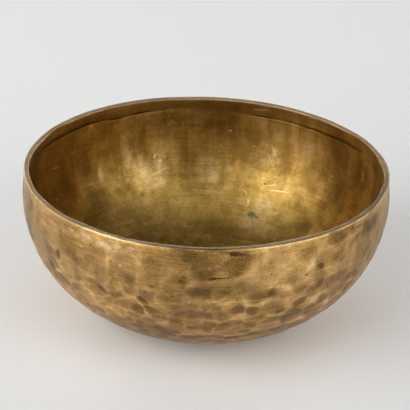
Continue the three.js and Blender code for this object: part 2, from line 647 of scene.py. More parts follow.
def strike(blow_list, sharpness):
    """How far all the blows together push in each vertex, and where two dishes meet."""
    total = np.zeros(len(place))
    best = np.zeros(len(place))
    second = np.zeros(len(place))
    for angle, arc, across, up, lean, depth in blow_list:
        hits = near_tree.find_range(on_wall(angle, arc), max(across, up) + ragged_amount)
        if not hits:
            continue
        index = np.array([hit[1] for hit in hits])
        turn = half_round(vertex_angle[index] - angle)
        side = turn * outer_radius[index] + ragged_side[index]
        rise = vertex_arc[index] - arc + ragged_rise[index]
        along = (side * math.cos(lean) + rise * math.sin(lean)) / across
        over = (rise * math.cos(lean) - side * math.sin(lean)) / up
        off = np.abs(along) ** dish_squareness + np.abs(over) ** dish_squareness
        share = np.clip(1 - off, 0, 1)
        total[index] += (depth * share ** dish_fullness) ** sharpness
        second[index] = np.maximum(second[index], np.minimum(best[index], share))
        best[index] = np.maximum(best[index], share)
    return total ** (1 / sharpness), 1 - smooth_step(best - second, 0, ridge_width)


dish, ridge = strike(blows, ridge_sharpness)
edge_fade = smooth_step(vertex_arc, 0, base_fade)
edge_fade *= 1 - smooth_step(vertex_arc, wall_length - rim_fade, wall_length)
dish *= edge_fade
print("deepest dish in millimetres:", round(dish.max() / millimetre, 2))

# %% [markdown]
# The inside is calmer. The outer blows show there as soft bumps, and a second set of
# wide, upright marks comes from planishing against a round stake. They give the hollow
# its soft upright patches of light. The smooth upper wall outside has such marks too.

# %% Planish the inside
planish_row_gap = 18 * millimetre
planish_gap = 14 * millimetre
planish_across = 9 * millimetre
planish_up = 15 * millimetre
planish_sharpness = 2
inner_planish_depth = 0.34 * millimetre
outer_planish_depth = 0.22 * millimetre
inner_planish_start = 12 * millimetre
outer_planish_start = 70 * millimetre
tall_from = 35 * millimetre
tall_to = 85 * millimetre
inside_share = 0.3
fewest_marks = 4
# Shares of the gaps, of the size and of the depth by which the marks differ
planish_turn_scatter = 0.4
planish_rise_scatter = 0.35
planish_across_shares = (0.7, 1.3)
planish_up_shares = (0.7, 1.2)
planish_depth_shares = (0.1, 1.0)
planish_lean = 0.35


def planishing(first, last, full_depth):
    """Wide upright marks in rows, as (angle, arc, across, up, lean, depth)."""
    marks = []
    for arc in np.arange(first, last, planish_row_gap):
        count = max(fewest_marks, round(math.tau * radius_at(arc) / planish_gap))
        up = blended(planish_across, planish_up, float(smooth_step(arc, tall_from, tall_to)))
        for step in range(count):
            angle = (step + either_way(planish_turn_scatter)) / count * math.tau
            marks.append((
                angle, arc + either_way(planish_rise_scatter) * planish_row_gap,
                planish_across * dice.uniform(*planish_across_shares),
                up * dice.uniform(*planish_up_shares), either_way(planish_lean),
                full_depth * dice.uniform(*planish_depth_shares),
            ))
    return marks


inner_planishing = planishing(inner_planish_start, ledge_foot, inner_planish_depth)
planish, _ = strike(inner_planishing, planish_sharpness)
planish *= edge_fade
outer_planishing = planishing(outer_planish_start, wall_length, outer_planish_depth)
outer_planish, _ = strike(outer_planishing, planish_sharpness)
dish_and_planish = np.maximum(dish, 0) + outer_planish * edge_fade
print("planishing marks reach in millimetres:", round(planish.max() / millimetre, 2))

# %% [markdown]
# Round the rim the handwork shows as well. The lip is made of short straight stretches
# that sway in and out, and it dips a little in places. The band inside ends in a crease
# that wanders up and down and closes up in places. It is drawn through a few drops below
# the lip, measured on the far side, where the picture shows it. A sum of a few waves
# with whole numbers of turns adds the wandering, because it meets itself again after one
# round.

# %% Rim, band and crease
lip_sway = 0.42 * millimetre
sway_stretches = 30
sway_of_the_line = 0.6
width_stretches = 37
sway_of_the_width = 1.6
lip_dip = 0.22 * millimetre
rim_stretch = 14 * millimetre
crease_depth = 0.22 * millimetre
crease_reach = 1.5 * millimetre
crease_below_ledge = 0.3 * millimetre
crease_wander = 0.25 * millimetre
crease_gaps = 0.35
shift_reach = 7 * millimetre
closing_stretch = 14 * millimetre
# A second, short dark line that the picture shows below the crease on the right, painted
# shade only, with no fold in the mesh
lower_line_drop = 5.2 * millimetre
lower_line_reach = 0.8 * millimetre
lower_line_turn = math.radians(152)
lower_line_half = math.radians(22)
crease_drops = (
    # turn in degrees, drop below the lip in millimetres, how open it is
    (-180, 8.2, 0), (-170, 6.6, 0.1), (-158, 7, 0.5), (-148, 9.4, 0.9), (-136, 6.8, 0.8),
    (-123, 8.1, 1.1), (-112, 7.2, 0.9), (-90, 8.8, 0.4), (-40, 7.6, 0.5), (0, 8.6, 0.3),
    (45, 7.8, 0.5), (85, 8.4, 0.2), (112, 7.4, 0.3), (122, 8.8, 0.9), (134, 9.3, 1),
    (152, 9.2, 0.8), (165, 9.2, 0.3), (180, 8.2, 0),
)


def wander(angle, turns, seed):
    """A smooth random line round the bowl, about -1 to 1, that meets itself again."""
    own_dice = random.Random(seed)
    total = np.zeros_like(angle)
    for count in turns:
        total += np.sin(count * angle + own_dice.uniform(0, math.tau)) * own_dice.uniform(0.5, 1)
    return total / math.sqrt(len(turns))


def flats(angle, corners, seed):
    """A random line of straight stretches round the bowl, about -1 to 1."""
    own_dice = random.Random(seed)
    turns = [(step + own_dice.uniform(-0.3, 0.3)) / corners * math.tau for step in range(corners)]
    offsets = [own_dice.uniform(-1, 1) for _ in turns]
    return np.interp(angle, turns, offsets, period=math.tau)


def soft_bump(distance, reach):
    """1 at no distance and 0 beyond the reach."""
    return 1 - smooth_step(np.abs(distance), 0, reach)


crease_turn, crease_drop, crease_width = np.array(crease_drops).T
drop = np.interp(np.degrees(vertex_angle), crease_turn, crease_drop) * millimetre
drop += crease_wander * wander(vertex_angle, (17, 23, 31), seed=5)
shift = (band_drop - drop) * soft_bump(vertex_arc - band_foot, shift_reach)
shift[vertex_face != INSIDE] = 0
crease_open = np.interp(np.degrees(vertex_angle), crease_turn, crease_width)
crease_open += crease_gaps * wander(vertex_angle, (11, 16, 27, 41), seed=8)
crease_open = np.clip(crease_open, 0, 1)
crease = soft_bump(vertex_arc - ledge_foot + crease_below_ledge, crease_reach) * crease_open
crease[vertex_face != INSIDE] = 0
closed = smooth_step(vertex_arc, ledge_foot - closing_stretch, ledge_foot)
closed *= vertex_arc < band_foot
closed *= (1 - crease_open) * (band_thickness - thickness_at(vertex_arc))
lower_shade_line = soft_bump(vertex_arc - band_foot + lower_line_drop, lower_line_reach)
lower_shade_line *= soft_bump(vertex_angle - lower_line_turn, lower_line_half)
lower_shade_line[vertex_face != INSIDE] = 0
drops = [round(v / millimetre, 1) for v in (drop.min(), drop.max())]
print("crease below the lip in millimetres, least and most:", drops)

# %% [markdown]
# Now the vertices move. Outside they go in by the dishes. Inside they stand up by a
# share of them, less the planishing, and sink into the crease. The whole wall then
# swells in three soft lobes, and the lip gets its sway.

# %% Beat the bowl
lobe_swell = 0.55 * millimetre
lobe_turn = math.radians(94)


def beaten_places():
    """The places of all vertices after the work of the hammer."""
    moved_radius, moved_height, _, _ = wall_at(vertex_arc + shift)
    side = moved_radius - outer_radius
    rise = moved_height - outer_height
    inward = np.where(vertex_face == OUTSIDE, dish_and_planish, 0.0)
    inner_relief = dish * inside_share - planish + closed - crease * crease_depth
    inward = np.where(vertex_face == INSIDE, inner_relief, inward)
    side -= out_r * inward
    rise -= out_z * inward
    near_rim = smooth_step(vertex_arc, wall_length - rim_stretch, wall_length)
    sway = flats(vertex_angle, sway_stretches, seed=21) * lip_sway
    width_sway = flats(vertex_angle, width_stretches, seed=34) * lip_sway * sway_of_the_width
    on_inner_edge = smooth_step(vertex_radius, rim_radius, rim_radius - lip_width)
    on_inner_edge[vertex_face == OUTSIDE] = 0
    side += near_rim * (sway * sway_of_the_line + width_sway * on_inner_edge)
    dip = (wander(vertex_angle, (5, 9, 17, 24), seed=55) * 0.5 - 0.5) * lip_dip
    rise += near_rim * np.minimum(dip, 0)
    lobe = lobe_swell * np.cos(3 * (vertex_angle - lobe_turn))
    side += lobe * (place[:, 2] / height) ** 2
    side = np.where(vertex_arc > 0, side, 0)
    rise = np.where(vertex_arc > 0, rise, 0)
    return place + np.column_stack((
        np.sin(vertex_angle) * side, -np.cos(vertex_angle) * side, rise
    ))


beaten = beaten_places()
bowl_mesh.vertices.foreach_set("co", beaten.astype(np.float32).ravel())
bowl_mesh.update()
reached = [round(v / millimetre, 2) for v in (beaten[:, 2].max(), beaten[:, 2].min())]
print("highest and lowest in millimetres:", reached)

# %% [markdown]
# The materials need to know what the hammer did. So the mesh carries seven numbers on
# its vertices: the way from the middle of the base along the metal, the depth of the
# dish, the ridges, the crease, which is painted dark as shade, and three that are painted
# here: stains that years have left, together with painted shade near the foot, on the
# sides of the hollow and along the crease; patches that wear has polished, together with
# painted highlights; and a painted warm reflection in the hollow. The listed patches
# follow the picture, and those on the sides and at the back are scattered. On the lip
# three of the numbers mean something else: wear is the wear and painted highlight of its
# outer corner, stain a stretch at the right painted dark as shade, and crease the dull
# middle of its outer corner.

# %% Paint stains and wear
dark_stains_and_shade = (
    # turn in degrees, height, across, up, strength, on the outside; stains, and painted
    # shade in the wide low patches near the foot
    (4, 103.6, 24, 1.6, 1.3), (0, 97, 32, 10, 0.7), (-2.5, 99, 13, 7, 1.2), (-1, 93, 8, 7, 1.1),
    (11, 98, 10, 8, 1.1), (1, 87, 11, 6, 0.8), (-15, 93, 8, 5, 0.5), (-5, 103, 14, 1.6, 0.9),
    (45, 102.5, 20, 2, 0.8), (47, 99, 12, 5, 0.6), (8.5, 93, 10, 7, 1.4), (9, 87, 8, 4, 0.9),
    (0.5, 75, 12, 8, 0.7), (8, 76, 10, 8, 0.8), (-6, 82, 8, 6, 0.6), (18, 69, 10, 5, 0.7),
    (33, 52, 9, 6, 0.5), (-17, 46, 12, 7, 0.3), (-8, 44, 10, 7, 0.3), (4, 45, 14, 7, 0.5),
    (16, 31, 14, 4, 0.6), (27, 47, 12, 6, 0.4), (33, 97, 10, 5, 0.5), (-45, 94, 8, 6, 0.4),
    (60, 94, 14, 9, 0.9), (45, 98, 8, 5, 0.6), (-32, 91, 9, 4, 0.3), (44, 86, 9, 7, 0.4),
    (50.5, 99, 9, 4, 0.7), (57, 98.5, 9, 4, 0.6), (37.6, 83, 4, 4, 0.6), (38.2, 71, 4.5, 5, 0.45),
    (11, 79.5, 5, 5, 0.6), (-18.3, 63.5, 6, 2.6, 0.45), (-20.8, 55, 6, 3, 0.35),
    (-32.8, 64, 4.6, 3.6, 0.5), (-49.6, 77, 3.6, 3.4, 0.6), (-55.6, 62, 4, 5, 0.5),
    (-22.2, 77, 8, 7, 0.35), (10.6, 59, 6, 4.4, 0.3), (16.2, 59, 5, 4.4, 0.3),
    (25.4, 55, 4.4, 3.4, 0.3), (-47, 87, 14, 20, 0.5), (75, 84, 16, 14, 0.4),
    # The wide patches at heights of 29 to 37 are painted shade near the foot
    (-70, 94, 22, 10, 0.4), (52, 92, 12, 10, 0.5), (-12, 37, 26, 7, 0.55), (4, 29, 40, 4, 0.45),
    (21, 35, 18, 5, 0.5), (44, 98.5, 15, 5, 0.8), (-57, 82, 10, 10, 0.3), (20, 94, 6, 5, 0.4),
)
worn_and_highlight_patches = (
    # the same five numbers, for what wear has polished and for painted highlights, such as
    # the upright light bands of the upper wall
    (-31, 99, 20, 4.6, 0.35), (-27, 95, 12, 6, 0.25), (-40, 96, 12, 6, 0.5), (-29, 86, 4, 16, 0.5),
    (-19, 86, 4.5, 15, 0.5), (-38.5, 80, 5, 12, 0.5), (17, 98, 8, 5, 0.3), (29, 94, 14, 8, 0.35),
    (24, 87, 12, 9, 0.5), (33.5, 86, 5, 16, 0.45), (15, 84, 6, 9, 0.35), (34, 79, 4, 6, 0.6),
    (-12, 80, 10, 8, 0.35), (40, 78, 5, 12, 0.4), (9, 66, 16, 2.6, 0.6), (20, 63.5, 14, 2.4, 0.6),
    (-9, 66, 5, 12, 0.4), (-40, 56, 20, 16, 0.5), (-29, 50, 14, 14, 0.6), (-44, 72, 8, 12, 0.35),
    (-34, 70, 16, 10, 0.4), (-22, 66, 12, 4, 0.5), (-13, 60, 8, 2.4, 0.5), (6, 52, 14, 2, 0.5),
    (24, 51, 12, 2, 0.6), (-60, 62, 12, 14, 0.4), (-54, 46, 18, 10, 0.4), (24, 63, 12, 4, 1),
    (25, 72, 10, 5, 0.9), (35, 40, 10, 6, 0.9), (-13, 50, 10, 3, 0.6), (-25, 60, 10, 4, 0.5),
    (33, 75, 12, 7, 0.8), (-27, 70, 11, 6, 0.8), (-17, 72, 7, 5, 0.8), (-3, 79, 6, 4, 0.6),
    (41, 58, 12, 8, 0.4),
)
inner_stains_and_shade = (
    # the same list for the hollow, where a turn of 180 is the far side: stains, and painted
    # shade in the broad patches on the sides and the thin ones along the crease
    (-157, 74, 6, 13, 0.7), (-170, 66, 8, 9, 0.5), (178, 66, 9, 12, 0.4), (178, 74, 24, 20, 0.5),
    (-142.5, 64, 6, 14, 0.6), (104, 92, 20, 8, 0.7), (-169, 35, 12, 7, 0.5), (163, 38, 8, 7, 0.6),
    (136, 50, 9, 7, 0.5), (-154, 37, 7, 6, 0.4), (-168, 84, 8, 6, 0.3), (-112, 62, 34, 44, 0.8),
    (125, 84, 7, 12, 0.6), (-100, 80, 30, 30, 1), (108, 62, 22, 34, 0.4), (90, 76, 30, 30, 0.7),
    (-135, 41, 16, 13, 0.9), (-128, 32, 14, 9, 0.9), (-143, 28, 12, 7, 0.4), (-154, 19, 13, 6, 0.4),
    (180, 32, 26, 9, 0.35), (178, 19, 34, 12, 0.6), (124, 58, 10, 15, 0.8), (121, 48, 12, 10, 0.5),
    (138, 36, 13, 9, 0.9), (134, 29, 12, 9, 0.9), (118, 72, 12, 20, 0.6), (-170, 84, 12, 10, 0.4),
    (-148, 94, 14, 3, 0.7), (-130, 95, 22, 3.2, 0.9), (-117, 95, 14, 4, 0.9), (134, 94, 16, 3, 0.7),
    (150, 94, 14, 3, 0.5), (122, 95, 12, 3, 0.8), (143, 25, 12, 7, 0.3), (131, 44, 9, 7, 0.7),
    (-168, 46, 10, 9, 0.5),
)
inner_wear_and_highlight = (
    # what wear has polished in the hollow, and painted highlights on its two broad lights
    (-156, 52, 12, 14, 0.9), (-163, 56, 8, 14, 0.8), (-151, 61, 8, 12, 0.7), (-147, 47, 9, 6, 0.6),
    (154.6, 60, 9, 7, 0.6), (-161, 43, 8, 7, 0.8), (-138.6, 56, 3, 9, 0.8), (155.6, 66, 4, 12, 0.8),
    (151, 47, 12, 10, 0.5), (-151, 68, 5, 12, 0.4), (114.8, 79, 1.6, 5, 0.8), (160, 62, 8, 16, 0.5),
    (154, 30, 8, 6, 0.5), (-141, 89, 7, 4, 0.4),
)
inner_painted_reflection = (
    # painted reflection: where the hollow is painted warm and bright, for light thrown across from
    # wall to wall
    (147, 80, 13, 18, 1.2), (149, 94, 12, 8, 1.1), (154, 82, 9, 12, 0.6), (164, 88, 12, 9, 0.8),
    (138, 84, 7, 9, 0.7), (-146, 84, 8, 9, 0.4), (140, 96, 10, 6, 0.6),
)
patch_steepness = 1.4

# Turns, heights, widths and strengths of the scattered patches
unseen_turns = (76, 288)
unseen_heights = (44, 102)
patch_widths = (6, 22)
lowest_patch = 4
patch_strengths = (0.25, 0.8)


def scattered_patches(seed, count, tallest):
    """Patches for the sides and the back, of the same kind as those in front."""
    own_dice = random.Random(seed)
    ranges = (
        unseen_turns, unseen_heights, patch_widths, (lowest_patch, tallest), patch_strengths
    )
    return tuple(tuple(own_dice.uniform(*ends) for ends in ranges) for _ in range(count))


def painted(patches, face):
    """Soft patches of paint on one side of the wall, as a number for each vertex."""
    total = np.zeros(len(place))
    for turn, z, across, up, strength in patches:
        angle = half_round(vertex_angle - math.radians(turn))
        side = (angle * outer_radius + ragged_side) / (across * millimetre)
        rise = (vertex_arc - arc_at_height(z * millimetre) + ragged_rise) / (up * millimetre)
        soft = np.exp(-(side * side + rise * rise) * patch_steepness)
        total = np.maximum(total, strength * soft)
    total[vertex_face != face] = 0
    return total


lip_wear_and_highlight = (
    # turn in degrees, half width in degrees, strength of the wear and painted highlight on the
    # outer corner
    (-29, 16, 1.0), (17, 13, 0.9), (140, 28, 0.6), (-75, 10, 0.3), (70, 12, 0.3), (-120, 18, 0.35),
)
least_lip_highlight = 0.05
# Turn and half width of the dull middle of the corner, and of the stretch of the lip at
# the right that is painted dark as shade
dull_middle = (math.radians(3), math.radians(21))
painted_shade_stretch = (math.radians(68), math.radians(40))


def lip_highlight():
    """Where the outer corner of the lip is painted bright, for wear and as a painted highlight, as
    a number for each vertex.
    """
    total = np.full(len(place), least_lip_highlight)
    for turn, half_width, strength in lip_wear_and_highlight:
        off = half_round(vertex_angle - math.radians(turn))
        total = np.maximum(total, strength * soft_bump(off, math.radians(half_width)))
    return total


def store(name, values):
    """Keep a number of every vertex on the mesh, for the materials."""
    layer = bowl_mesh.attributes.new(name, "FLOAT", "POINT")
    layer.data.foreach_set("value", values.astype(np.float32))


def on_lip(lip_values, wall_values):
    """One number for the vertices of the lip and another for the rest."""
    return np.where(vertex_face == LIP, lip_values, wall_values)


def dull(turn, half_width):
    """A dull stretch of the lip, as a number for each vertex."""
    return soft_bump(vertex_angle - turn, half_width)


store("way", np.where(vertex_arc > 0, base_radius + vertex_arc, vertex_radius))
upper_wall = smooth_step(outer_height, smooth_height, smooth_height + smooth_stretch)
local_depth = blow_depth * blended(1, smooth_share, upper_wall)
store("dish", dish / local_depth * (1 - 0.45 * upper_wall))
store("ridge", ridge * (1 - 0.5 * upper_wall))
# In the hollow the crease number is painted dark as shade
store("crease", on_lip(dull(*dull_middle), np.maximum(crease, 0.7 * lower_shade_line)))
store("painted_reflection", painted(inner_painted_reflection, INSIDE))
all_stains_and_shade = dark_stains_and_shade + scattered_patches(seed=3, count=54, tallest=10)
all_worn_and_highlight = worn_and_highlight_patches + scattered_patches(seed=4, count=40, tallest=12)
stain_and_shade = np.maximum(painted(all_stains_and_shade, OUTSIDE), painted(inner_stains_and_shade, INSIDE))
store("stain_and_shade", on_lip(dull(*painted_shade_stretch), stain_and_shade))
wear_and_highlight = np.maximum(painted(all_worn_and_highlight, OUTSIDE), painted(inner_wear_and_highlight, INSIDE))
store("wear_and_highlight", on_lip(lip_highlight(), wear_and_highlight))
bowl_mesh.attributes.remove(bowl_mesh.attributes["arc"])
bowl_mesh.attributes.remove(bowl_mesh.attributes["face"])

bowl = bpy.data.objects.new("hammered_bowl", bowl_mesh)
bpy.context.collection.objects.link(bowl)
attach(bowl, "root")
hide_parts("bowl")

# %% [markdown]
# The finish is bronze that was polished once and has tarnished since. The same few
# effects show on the outside, on the lip and in the hollow, so each is a node group that
# is built once: clouds of tarnish, fine lines from polishing round the bowl, pits,
# scratches and single marks. Grain is a cloud of a very small size. Every group puts out
# one mask between 0 and 1.

# %% Node groups


def new_group(name, pattern, inputs):
    """A node group with one output, Mask: a pattern that is drawn from its inputs."""
    tree = bpy.data.node_groups.new(name, "ShaderNodeTree")
    for label, value in inputs.items():
        kind = "Vector" if value is None else "Float"
        socket = tree.interface.new_socket(label, in_out="INPUT", socket_type="NodeSocket" + kind)
        if value is not None:
            socket.default_value = value
    tree.interface.new_socket("Mask", in_out="OUTPUT", socket_type="NodeSocketFloat")
    given = tree.nodes.new("NodeGroupInput").outputs
    ending = tree.nodes.new("NodeGroupOutput").inputs
    graph = Graph(tree)
    graph.feed(ending["Mask"], pattern(graph, given))
    return tree


def cloud_pattern(g, given):
    """Soft patches of a given size. A high softness blurs their edges."""
    scale = g.calculate("DIVIDE", 1.0, given["Size"])
    cloud = g.noise_at(given["Place"], scale, 4.0, 0.6, 0.3)
    start = g.calculate("SUBTRACT", given["Level"], given["Softness"])
    return g.ranged(cloud, start, g.plus(given["Level"], given["Softness"]))


def line_pattern(g, given):
    """Fine lines that run round the bowl, from polishing. They stay even up the wall."""
    parts = g.parts(given["Place"])
    across = g.calculate("DIVIDE", parts["X"], given["Length"])
    along = g.calculate("DIVIDE", parts["Y"], given["Length"])
    up = g.calculate("DIVIDE", given["Way"], given["Gap"])
    return g.ranged(g.noise_at(g.combined(across, along, up), 1.0, 3.0, 0.6), 0.3, 0.7)


def pit_pattern(g, given):
    """Small round pits, one in some cells of a cell pattern."""
    scale = g.calculate("DIVIDE", 1.0, given["Gap"])
    cells = g.node("TexVoronoi", {"Vector": given["Place"], "Scale": scale}).outputs
    pit = g.ranged(cells["Distance"], given["Radius"], g.times(given["Radius"], 0.4))
    colour = g.node("SeparateColor", {"Color": cells["Color"]}).outputs
    return g.times(pit, g.calculate("LESS_THAN", colour["Red"], given["Share"]))


def scratch_pattern(g, given):
    """Thin broken scratches: the line where a stretched noise crosses one half."""
    scale = g.calculate("DIVIDE", 1.0, given["Size"])
    stretched = g.node("Mapping", {
        "Vector": given["Place"], "Rotation": (0.5, 0.35, 0.2), "Scale": (0.35, 1.0, 1.6),
    }).outputs["Vector"]
    wave = g.noise_at(stretched, scale, 1.0, 0.4)
    off = g.calculate("ABSOLUTE", g.calculate("SUBTRACT", wave, 0.5))
    breaks = g.noise_at(given["Place"], g.times(scale, 1.7))
    kept = g.ranged(breaks, given["Share"], g.plus(given["Share"], 0.08))
    return g.times(g.ranged(off, given["Width"], 0.0), kept)


def mark_pattern(g, given):
    """One long or round mark at a given place, with ragged ends."""
    wobble = g.node("TexNoise", {"Vector": given["Place"], "Scale": 600.0}).outputs["Color"]
    centred = g.vector("SUBTRACT", wobble, (0.5, 0.5, 0.5))
    amount = g.times(given["Half width"], 1.6)
    push = g.node("VectorMath", {0: centred, "Scale": amount}, operation="SCALE")
    pushed = g.vector("ADD", given["Place"], push.outputs["Vector"])
    away = g.vector("SUBTRACT", pushed, given["Centre"])
    along_squared = g.squared(g.vector("DOT_PRODUCT", away, given["Direction"]))
    size_squared = g.squared(g.vector("LENGTH", away))
    across_squared = g.calculate("SUBTRACT", size_squared, along_squared)
    reach = g.plus(
        g.calculate("DIVIDE", along_squared, g.squared(given["Half length"])),
        g.calculate("DIVIDE", across_squared, g.squared(given["Half width"])),
    )
    return g.ranged(reach, 1.5, 0.1)


groups = {}
for group_name, group_pattern, group_inputs in (
    ("tarnish_clouds", cloud_pattern, {"Size": 0.02, "Softness": 0.15, "Level": 0.5}),
    ("polishing_lines", line_pattern, {"Way": 0.0, "Gap": 0.001, "Length": 0.03}),
    ("pits", pit_pattern, {"Gap": 0.006, "Radius": 0.15, "Share": 0.3}),
    ("scratches", scratch_pattern, {"Size": 0.03, "Width": 0.012, "Share": 0.6}),
    ("single_mark", mark_pattern, {
        "Centre": None, "Direction": None, "Half length": 0.004, "Half width": 0.001,
    }),
):
    groups[group_name] = new_group(group_name, group_pattern, {"Place": None, **group_inputs})
print("node groups:", sorted(groups))

# %% [markdown]
# The class below builds a material. It reads the object coordinates and the numbers on
# the mesh, and places node groups by name. Metals get their colour from how they
# reflect, so the Metallic value is 1 everywhere and all colours below are the colours of
# reflections.

# %% Start a bronze material
streak_flatness = 0.22


def mark_place(turn, z, lean, face):
    """The middle of a mark and its direction, from its turn, its height and its lean."""
    arc = arc_at_height(z * millimetre)
    radius, _, normal_r, normal_z = (float(v) for v in wall_at(arc))
    up_r, up_z = -normal_z, normal_r
    depth = float(thickness_at(arc)) if face == INSIDE else 0.0
    angle = math.radians(turn)
    outward = Vector((math.sin(angle), -math.cos(angle), 0))
    sideways = Vector((math.cos(angle), math.sin(angle), 0))
    upward = outward * up_r + Vector((0, 0, up_z))
    lobe = lobe_swell * math.cos(3 * (angle - lobe_turn)) * (z * millimetre / height) ** 2
    centre = outward * (radius - normal_r * depth + lobe)
    centre.z = z * millimetre - normal_z * depth
    tilt = math.radians(lean)
    return centre, sideways * math.cos(tilt) + upward * math.sin(tilt)


class Bronze(Graph):
    """One bronze material under construction."""

    def __init__(self, name):
        material = bpy.data.materials.new(name)
        material.use_nodes = True
        super().__init__(material.node_tree)
        self.shader = self.tree.nodes["Principled BSDF"].inputs
        self.shader["Metallic"].default_value = 1.0
        self.place = self.node("TexCoord").outputs["Object"]
        bowl_mesh.materials.append(material)

    def number(self, name):
        """A number that the mesh carries."""
        return self.node("Attribute", attribute_name=name).outputs["Fac"]

    def mask(self, group, **inputs):
        """The mask of a node group, placed with its own values."""
        inputs = {"Place": self.place, **inputs}
        return self.node("Group", inputs, node_tree=groups[group]).outputs["Mask"]

    def clouds(self, size, softness, *offset):
        """Clouds of tarnish, by size in metres. An offset keeps two patterns apart."""
        place = self.place
        if offset:
            inputs = {"Vector": place, "Location": offset}
            place = self.node("Mapping", inputs).outputs["Vector"]
        return self.mask("tarnish_clouds", Place=place, Size=size, Softness=softness)

    def upright_clouds(self, size, softness):
        """Clouds drawn out up the wall."""
        flat = self.vector("MULTIPLY", self.place, (1, 1, 0))
        parts = self.parts(self.vector("NORMALIZE", flat))
        place = self.combined(
            self.times(parts["X"], rim_radius), self.times(parts["Y"], rim_radius),
            self.times(self.number("way"), streak_flatness),
        )
        return self.mask("tarnish_clouds", Place=place, Size=size, Softness=softness)

    def marked(self, colour, marks, face):
        """The colour with single marks over it. Each list of marks has one colour."""
        for top, listed in marks:
            for turn, z, length, width, lean, strength in listed:
                centre, direction = mark_place(turn, z, lean, face)
                made = self.mask("single_mark", Centre=centre, Direction=direction, **{
                    "Half length": length / 2 * millimetre, "Half width": width / 2 * millimetre,
                })
                colour = self.over(colour, self.times(made, strength), top)
        return colour

    def toned(self, tone, stops):
        """The colour of a tone, from the darkest stop at 0 to the palest at 1."""
        ramp = self.node("ValToRGB", {"Fac": tone})
        elements = ramp.color_ramp.elements
        elements[0].position, elements[0].color = stops[0]
        elements[1].position, elements[1].color = stops[-1]
        for position, colour in stops[1:-1]:
            elements.new(position).color = colour
        return ramp.outputs["Color"]

    def finish(self, colour, roughness, relief, distance):
        """Join the colour, the roughness and the relief that is too fine for the mesh."""
        bump = self.node("Bump", {"Strength": 1.0, "Distance": distance, "Height": relief})
        self.feed(self.shader["Normal"], bump.outputs["Normal"])
        self.feed(self.shader["Base Color"], colour)
        self.feed(self.shader["Roughness"], roughness)


black_brown = (0.05, 0.028, 0.012, 1)
hollow_brown = (0.13, 0.064, 0.018, 1)
warm_brown = (0.27, 0.148, 0.046, 1)
tan = (0.43, 0.25, 0.092, 1)
gold = (0.655, 0.40, 0.145, 1)
pale_gold = (0.86, 0.635, 0.34, 1)
green_black = (0.07, 0.075, 0.045, 1)
violet_brown = (0.22, 0.13, 0.09, 1)
olive_tint = (0.40, 0.27, 0.05, 1)
worn_tan = (0.61, 0.465, 0.31, 1)
outer_tones = (
    (0.0, black_brown), (0.18, hollow_brown), (0.42, warm_brown), (0.6, tan), (0.8, gold),
    (1.0, pale_gold),
)

# %% [markdown]
# Outside, the tarnish sits in the hammer marks and wear has kept the ridges bright. So
# a tone is added up from clouds, dishes, ridges, stains with painted shade among them and
# wear with painted highlights among it, darker towards the foot as painted shade, and a
# ramp turns it into a colour. Pits, scratches and single marks come on top, darker than
# the metal or golden where it is worn, and the finest relief is a bump.

# %% Outside
# Stretches of the way along the metal over which the upper wall and the painted shade of
# the foot begin
upper_stretch = (130 * millimetre, 165 * millimetre)
foot_shade_stretch = (138 * millimetre, 100 * millimetre)
outside_relief = 0.06 * millimetre
outer_marks = (
    # turn in degrees, height, length, width, lean in degrees, strength
    (black_brown, (
        (5.6, 84.7, 15, 0.9, 0, 0.9), (3.6, 84.5, 9, 1.4, 0, 0.9), (2.6, 84.3, 6.5, 2.4, 8, 0.85),
        (10, 100.6, 12, 2.6, -3, 0.8), (8.6, 100.8, 6, 3, 0, 0.9), (-3, 100.6, 11, 1.2, 0, 0.6),
        (-18.2, 63.6, 9, 2.4, -38, 0.55), (-20.6, 55.4, 9, 2.6, -32, 0.25),
        (-17, 57.6, 7, 2, -30, 0.5), (50.6, 100, 3.4, 2.6, 20, 0.7), (53.6, 99.2, 9, 1.6, 0, 0.6),
        (58.5, 97.4, 10, 1.6, -6, 0.5), (37.6, 83.2, 4.2, 3.6, 0, 0.4),
        (32, 79.4, 3, 1.4, -30, 0.7), (43.6, 67.9, 2, 1.6, 0, 0.6), (36.4, 64.8, 2.6, 1.6, 20, 0.8),
        (-32.8, 64.2, 4.6, 3.2, -10, 0.35), (-49.6, 77, 3.6, 3, 0, 0.4),
        (-55.6, 61.6, 3, 7, 25, 0.6), (-35.6, 86, 6, 1, -24, 0.5), (-34.4, 76.6, 9, 0.6, 78, 0.5),
        (-21.5, 76, 8, 0.5, 84, 0.4), (-11.5, 78, 8, 0.5, 80, 0.4),
        (-5.3, 84.6, 3.2, 1.6, -30, 0.7), (-6.5, 82, 2.6, 1.5, 0, 0.6),
        (-5.9, 76.8, 2.6, 1.8, 0, 0.5), (-8.8, 69.8, 2.4, 1.8, 0, 0.7), (-17.2, 70.2, 3, 2, 0, 0.7),
        (-13.6, 81, 8, 0.8, 84, 0.5), (-15.1, 75.4, 3, 1.4, 0, 0.5), (21, 34, 12, 2.4, 4, 0.5),
    )),
    (green_black, (
        (38.2, 71.4, 5, 4, 0, 0.35), (10.1, 77.6, 4, 4, 0, 0.5),
    )),
    (pale_gold, (
        (-24.8, 86.2, 2.8, 1.1, 24, 0.7),
    )),
    (gold, (
        (-38.8, 91.2, 5, 3.4, -10, 0.5), (-56, 99.8, 9, 0.8, 0, 0.7), (-62, 100.4, 9, 0.8, 2, 0.6),
        (-50, 99.6, 7, 0.8, -4, 0.6), (26, 50.6, 16, 1, 10, 0.5), (15, 66.5, 28, 1.6, 0, 0.5),
    )),
    (worn_tan, (
        (-37, 99, 10, 3.4, -4, 0.5), (-31, 97.6, 9, 4.6, 8, 0.5), (-26, 98.4, 8, 3, 4, 0.5),
        (-29, 94.4, 6, 4.4, 20, 0.4), (-21.5, 99.2, 6, 2.2, 0, 0.45), (-43, 98.4, 5, 2.4, -8, 0.4),
        (24, 88, 9, 3, -20, 0.3), (34, 84, 3, 9, 10, 0.3),
    )),
)


